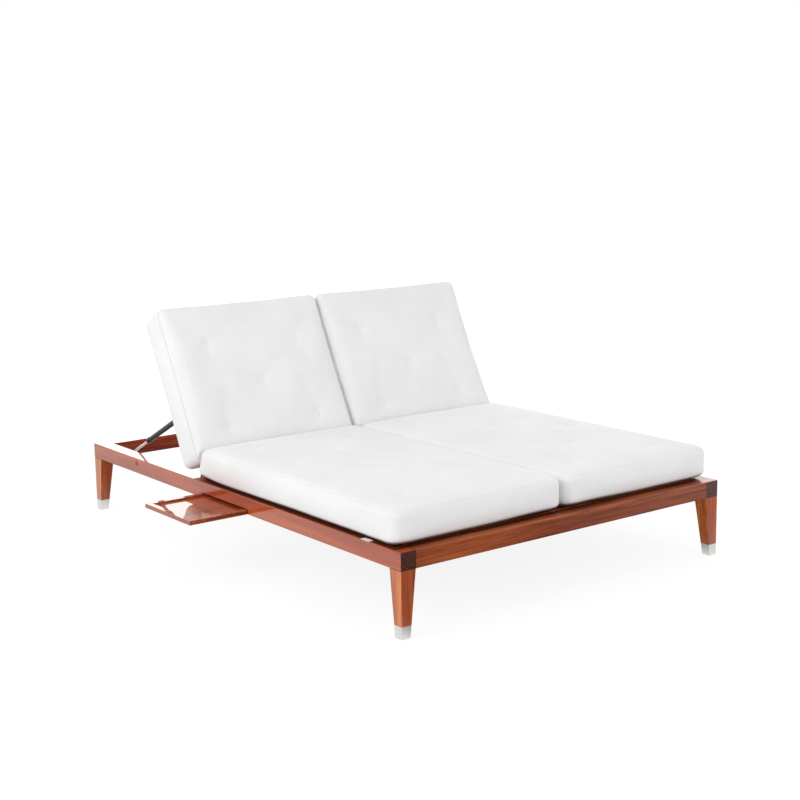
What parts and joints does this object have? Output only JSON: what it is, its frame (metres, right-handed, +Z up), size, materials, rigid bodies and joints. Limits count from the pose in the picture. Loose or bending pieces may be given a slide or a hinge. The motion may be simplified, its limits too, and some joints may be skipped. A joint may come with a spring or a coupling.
{
  "type": "double chaise lounger",
  "caption": "Double chaise lounger with tufted cushions, adjustable backrests on gas struts and slide-out side trays in a low hardwood frame on tapered legs.",
  "frame": {"origin": "on the floor under the middle of the frame", "axes": "+X across towards the right lounger, +Y from the foot end to the head end, +Z up"},
  "size_m": [1.85, 2.03, 0.8485],
  "materials": {
    "mahogany": "high-gloss varnish",
    "brushed_steel": "brushed",
    "chrome": "polished",
    "black_enamel": "satin enamel",
    "canvas": "woven outdoor fabric"
  },
  "bodies": {
    "frame": {"centre_rail": "mahogany", "cushion_tab": "canvas", "foot_left_ferrule": "brushed_steel", "foot_left_leg": "mahogany", "foot_rail": "mahogany", "foot_right_ferrule": "brushed_steel", "foot_right_leg": "mahogany", "head_left_ferrule": "brushed_steel", "head_left_leg": "mahogany", "head_rail": "mahogany", "head_right_ferrule": "brushed_steel", "head_right_leg": "mahogany", "left_hinge_fixed_leaves": "brushed_steel", "left_hinge_pins": "brushed_steel", "left_hinge_rail": "mahogany", "left_seat_buttons": "canvas", "left_seat_cushion": "canvas", "left_side_rail": "mahogany", "left_strut_lower_bracket": "brushed_steel", "left_tray_guides": "mahogany", "leg_bolts": "brushed_steel", "right_hinge_fixed_leaves": "brushed_steel", "right_hinge_pins": "brushed_steel", "right_hinge_rail": "mahogany", "right_seat_buttons": "canvas", "right_seat_cushion": "canvas", "right_side_rail": "mahogany", "right_strut_lower_bracket": "brushed_steel", "right_tray_guides": "mahogany", "seat_cleats": "mahogany", "seat_slats": "mahogany", "tray_back_stops": "mahogany"},
    "left_backrest": {"left_back_bottom_rail": "mahogany", "left_back_buttons": "canvas", "left_back_cushion": "canvas", "left_back_inner_stile": "mahogany", "left_back_outer_stile": "mahogany", "left_back_slats": "mahogany", "left_back_top_rail": "mahogany", "left_hinge_moving_leaves": "brushed_steel", "left_strut_upper_bracket": "brushed_steel"},
    "left_strut_rod": {"left_strut_rod": "chrome"},
    "left_strut_cylinder": {"left_strut_cylinder": "black_enamel"},
    "left_tray": {"left_tray_frame": "mahogany", "left_tray_panel": "mahogany", "left_tray_stop": "mahogany"},
    "right_backrest": {"right_back_bottom_rail": "mahogany", "right_back_buttons": "canvas", "right_back_cushion": "canvas", "right_back_inner_stile": "mahogany", "right_back_outer_stile": "mahogany", "right_back_slats": "mahogany", "right_back_top_rail": "mahogany", "right_hinge_moving_leaves": "brushed_steel", "right_strut_upper_bracket": "brushed_steel"},
    "right_strut_rod": {"right_strut_rod": "chrome"},
    "right_strut_cylinder": {"right_strut_cylinder": "black_enamel"},
    "right_tray": {"right_tray_frame": "mahogany", "right_tray_panel": "mahogany", "right_tray_stop": "mahogany"}
  },
  "joints": [
    {"name": "left_backrest_hinge", "type": "hinge", "parent": "frame", "child": "left_backrest", "pos_m": [-0.3145, 0.299, 0.254], "axis": [-1, 0, 0], "range_deg": [0, 63.1]},
    {"name": "left_strut_pivot", "type": "hinge", "parent": "frame", "child": "left_strut_rod", "pos_m": [-0.6225, 0.872, 0.231], "axis": [1, 0, 0], "range_deg": [0, 23.35]},
    {"name": "left_strut_slide", "type": "slide", "parent": "left_strut_rod", "child": "left_strut_cylinder", "axis": [0, -0.8933, 0.4494], "range_m": [-0.1821, 0]},
    {"name": "left_tray_slide", "type": "slide", "parent": "frame", "child": "left_tray", "axis": [1, 0, 0], "range_m": [0, 0.225]},
    {"name": "right_backrest_hinge", "type": "hinge", "parent": "frame", "child": "right_backrest", "pos_m": [0.3145, 0.299, 0.254], "axis": [-1, 0, 0], "range_deg": [0, 63.1]},
    {"name": "right_strut_pivot", "type": "hinge", "parent": "frame", "child": "right_strut_rod", "pos_m": [0.6225, 0.872, 0.231], "axis": [1, 0, 0], "range_deg": [0, 23.35]},
    {"name": "right_strut_slide", "type": "slide", "parent": "right_strut_rod", "child": "right_strut_cylinder", "axis": [0, -0.8933, 0.4494], "range_m": [-0.1821, 0]},
    {"name": "right_tray_slide", "type": "slide", "parent": "frame", "child": "right_tray", "axis": [-1, 0, 0], "range_m": [0, 0.225]}
  ],
  "couplings": [
    {"joint": "left_strut_pivot", "follows": "left_backrest_hinge", "ratio": 0.36929},
    {"joint": "left_strut_slide", "follows": "left_backrest_hinge", "m_per_rad": -0.16509},
    {"joint": "right_strut_pivot", "follows": "right_backrest_hinge", "ratio": 0.36929},
    {"joint": "right_strut_slide", "follows": "right_backrest_hinge", "m_per_rad": -0.16509}
  ]
}
